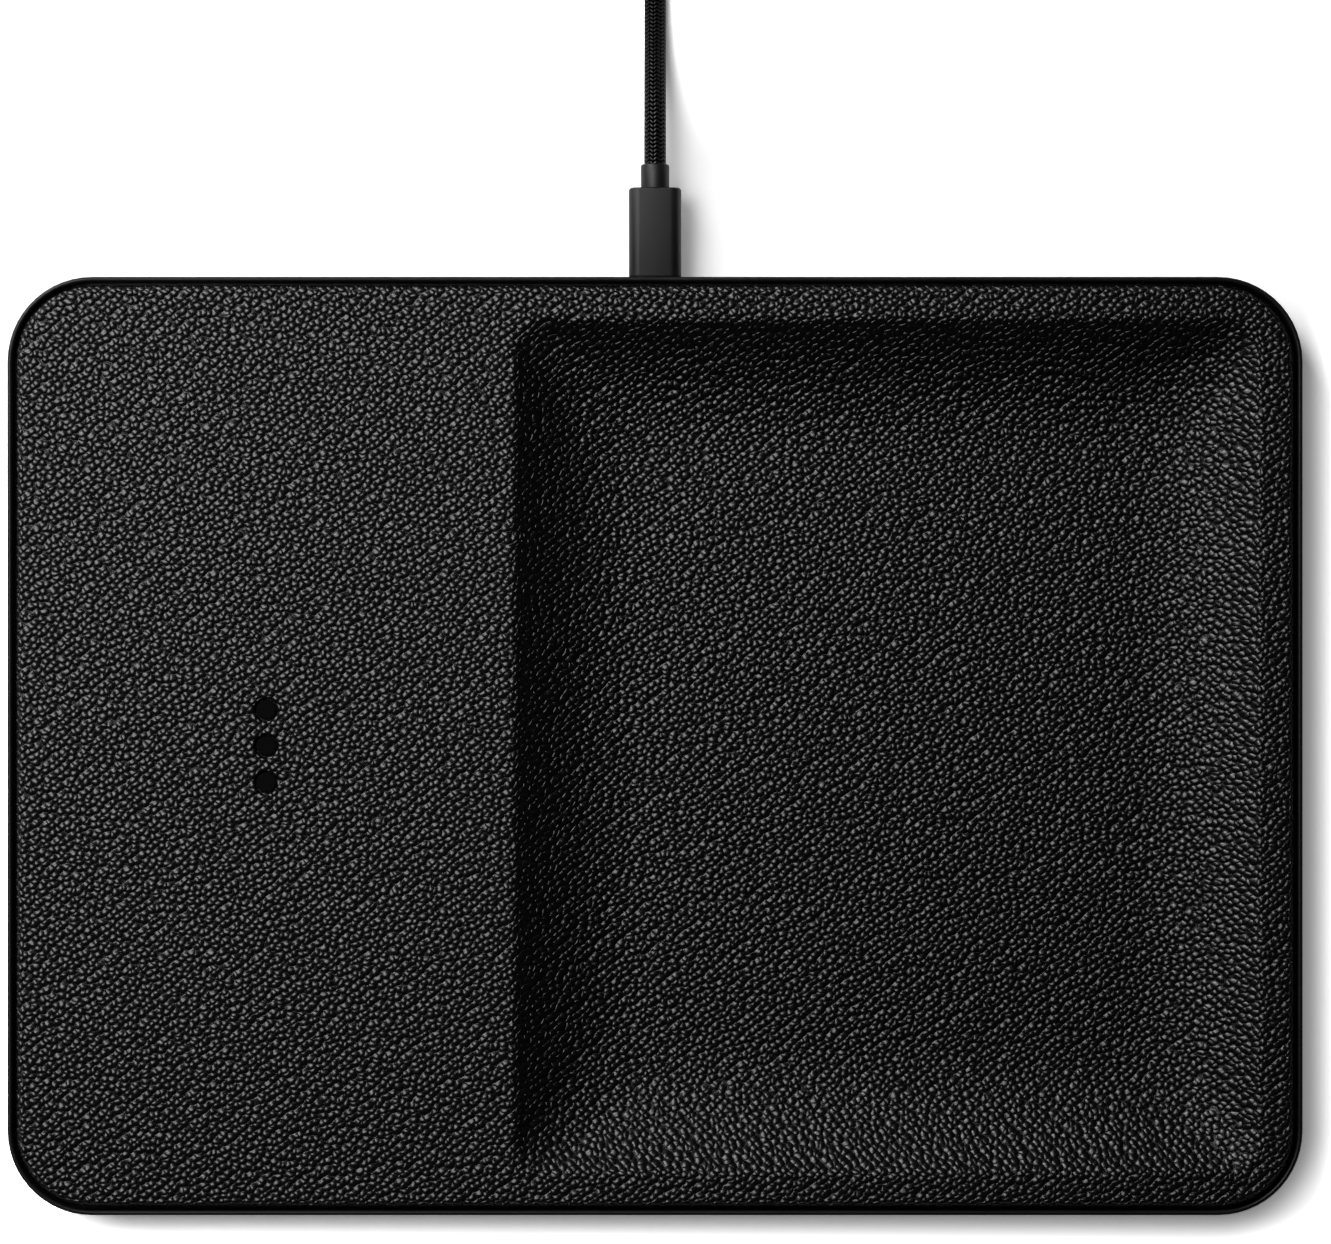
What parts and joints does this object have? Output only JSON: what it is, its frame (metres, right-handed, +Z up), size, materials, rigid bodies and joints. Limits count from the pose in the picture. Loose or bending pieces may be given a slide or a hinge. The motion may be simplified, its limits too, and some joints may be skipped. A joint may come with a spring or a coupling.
{
  "type": "charging station organizer",
  "caption": "Flat leather-faced desk tray with a wireless charging zone, a soft-cornered catch-all recess and a detachable braided power cord.",
  "frame": {"origin": "centre of the tray's footprint, on the surface that it stands on", "axes": "+X to the tray's right with the charging zone on the left, +Y to the back where the cord leaves, +Z up"},
  "size_m": [0.26, 0.3218, 0.0209],
  "materials": {
    "frame_metal": "dark anodised, satin",
    "leather": "black pebbled grain, low sheen",
    "marker_gloss": "black, polished",
    "core_plastic": "dark moulded",
    "foot_rubber": "fine matt texture",
    "bezel_plastic": "satin",
    "copper_wire": "enamelled copper",
    "ferrite": "matt ceramic",
    "bracket_plastic": "moulded",
    "screw_steel": "zinc plated",
    "bead": "epoxy",
    "board": "green solder mask",
    "chip": "moulded epoxy",
    "inductor": "pressed powder",
    "capacitor": "ceramic",
    "socket_nylon": "ivory nylon",
    "ribbon": "amber film",
    "contact_steel": "drawn",
    "tongue_plastic": "moulded",
    "plug_plastic": "satin",
    "braid": "black woven sleeve",
    "tie_fabric": "hook-and-loop strap"
  },
  "bodies": {
    "tray": {"base_shell": "frame_metal", "foot_mat": "foot_rubber", "port_bezel": "bezel_plastic", "top_core": "core_plastic", "leather_cover": "leather", "marker_back": "marker_gloss", "marker_middle": "marker_gloss", "marker_front": "marker_gloss", "charging_coil": "copper_wire", "ferrite_shield": "ferrite", "coil_bracket": "bracket_plastic", "bracket_screws": "screw_steel", "thermistor": "bead", "circuit_board": "board", "board_screws": "screw_steel", "controller_chip": "chip", "driver_chips": "chip", "power_inductor": "inductor", "resonant_capacitors": "capacitor", "port_board": "board", "port_screws": "screw_steel", "link_sockets": "socket_nylon", "link_ribbon": "ribbon", "receptacle_shell": "contact_steel", "receptacle_tongue": "tongue_plastic", "case_screws": "screw_steel"},
    "cord": {"plug_shell": "contact_steel", "plug_insulator": "tongue_plastic", "plug_housing": "plug_plastic", "plug_collar": "plug_plastic", "cord_lead": "braid", "cord_coil": "braid", "cord_tail": "braid", "cord_tie": "tie_fabric", "end_collar": "plug_plastic", "end_housing": "plug_plastic", "end_shell": "contact_steel", "end_insulator": "tongue_plastic"}
  },
  "joints": [
    {"name": "plug_slide", "type": "slide", "parent": "tray", "child": "cord", "axis": [0, 1, 0], "range_m": [0, 0.012]}
  ]
}
